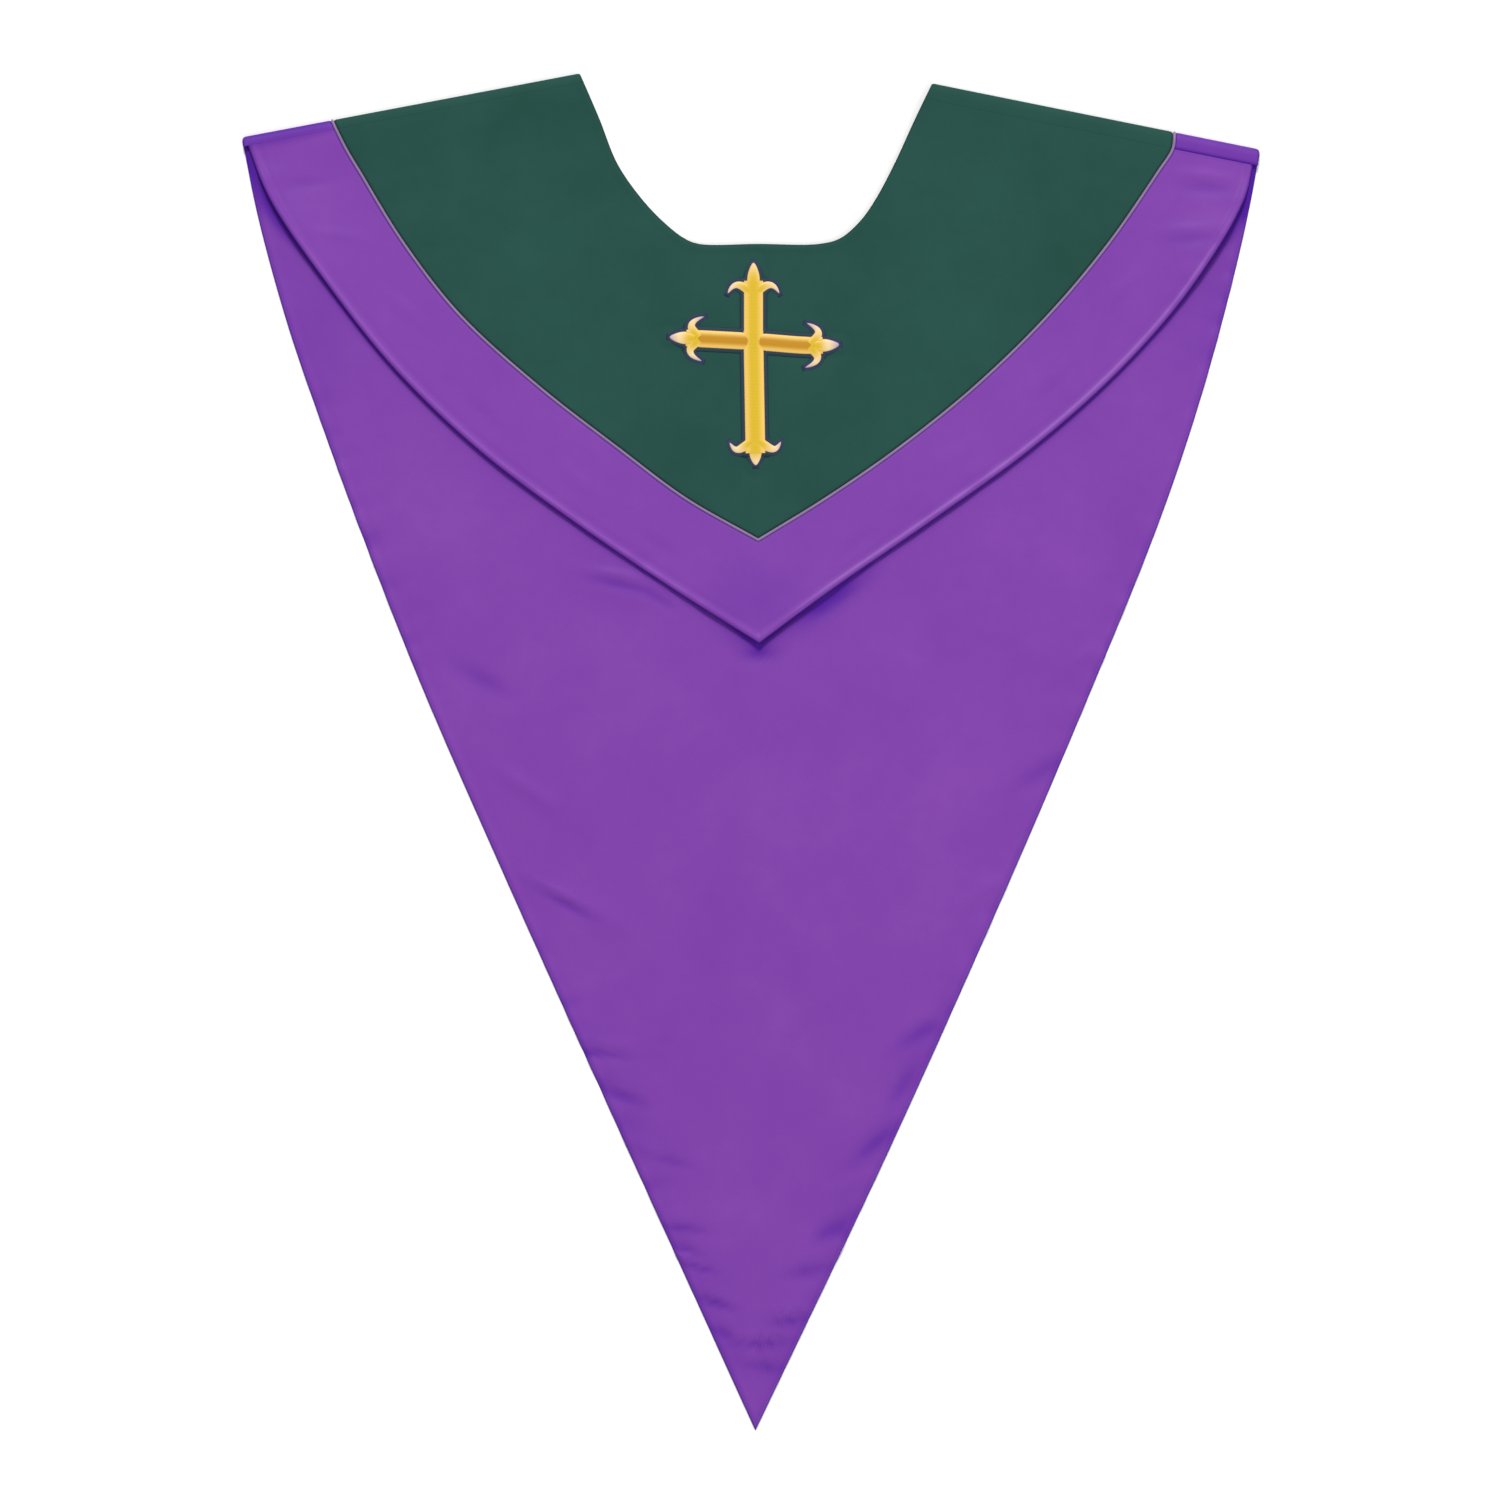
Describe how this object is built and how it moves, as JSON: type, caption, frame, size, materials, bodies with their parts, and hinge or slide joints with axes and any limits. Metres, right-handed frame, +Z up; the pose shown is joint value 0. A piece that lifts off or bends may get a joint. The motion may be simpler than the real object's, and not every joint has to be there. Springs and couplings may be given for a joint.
{
  "type": "choir stole",
  "caption": "V-shaped choir stole laid flat, with a green yoke and embroidered gold cross, a piped seam and a purple band over a long pointed back panel.",
  "frame": {"origin": "middle of the footprint, on the surface that the stole lies on", "axes": "+Y along the garment from the pointed back hem to the neck, +Z up out of the surface, +X to the right of a viewer who looks down with the neck at the top"},
  "size_m": [0.571, 0.7609, 0.0066],
  "materials": {
    "purple_satin": "soft satin, low sheen",
    "green_satin": "matt plain weave",
    "mauve_piping": "satin-covered cord",
    "gold_thread": "satin-stitched rayon thread"
  },
  "bodies": {
    "root": {"long_panel": "purple_satin", "front_band": "purple_satin", "back_yoke": "green_satin", "front_yoke": "green_satin", "back_piping": "mauve_piping", "front_piping": "mauve_piping", "embroidered_cross": "gold_thread"}
  },
  "joints": []
}
